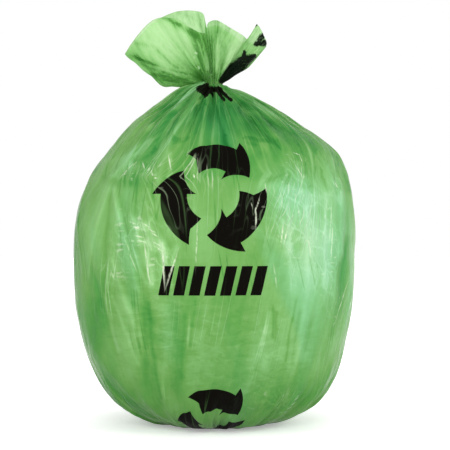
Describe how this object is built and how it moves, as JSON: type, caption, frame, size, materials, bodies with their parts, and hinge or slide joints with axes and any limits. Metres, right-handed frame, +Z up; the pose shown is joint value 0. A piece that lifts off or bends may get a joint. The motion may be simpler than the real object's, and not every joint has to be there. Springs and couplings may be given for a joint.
{
  "type": "filled bin bag",
  "caption": "Filled translucent green bin bag, gathered and tied at the neck with its free film fanned out above, standing on its own base.",
  "frame": {"origin": "middle of the flat patch that the bag stands on", "axes": "+Z up along the bag from its base to its tied neck, printed side towards -Y, +X to the right of that side"},
  "size_m": [0.4677, 0.4672, 0.6954],
  "materials": {
    "film": "glossy translucent green film, mottled by the contents behind it",
    "band": "plain green elastic"
  },
  "bodies": {
    "root": {"bag": "film", "neck_band": "band"}
  },
  "joints": []
}
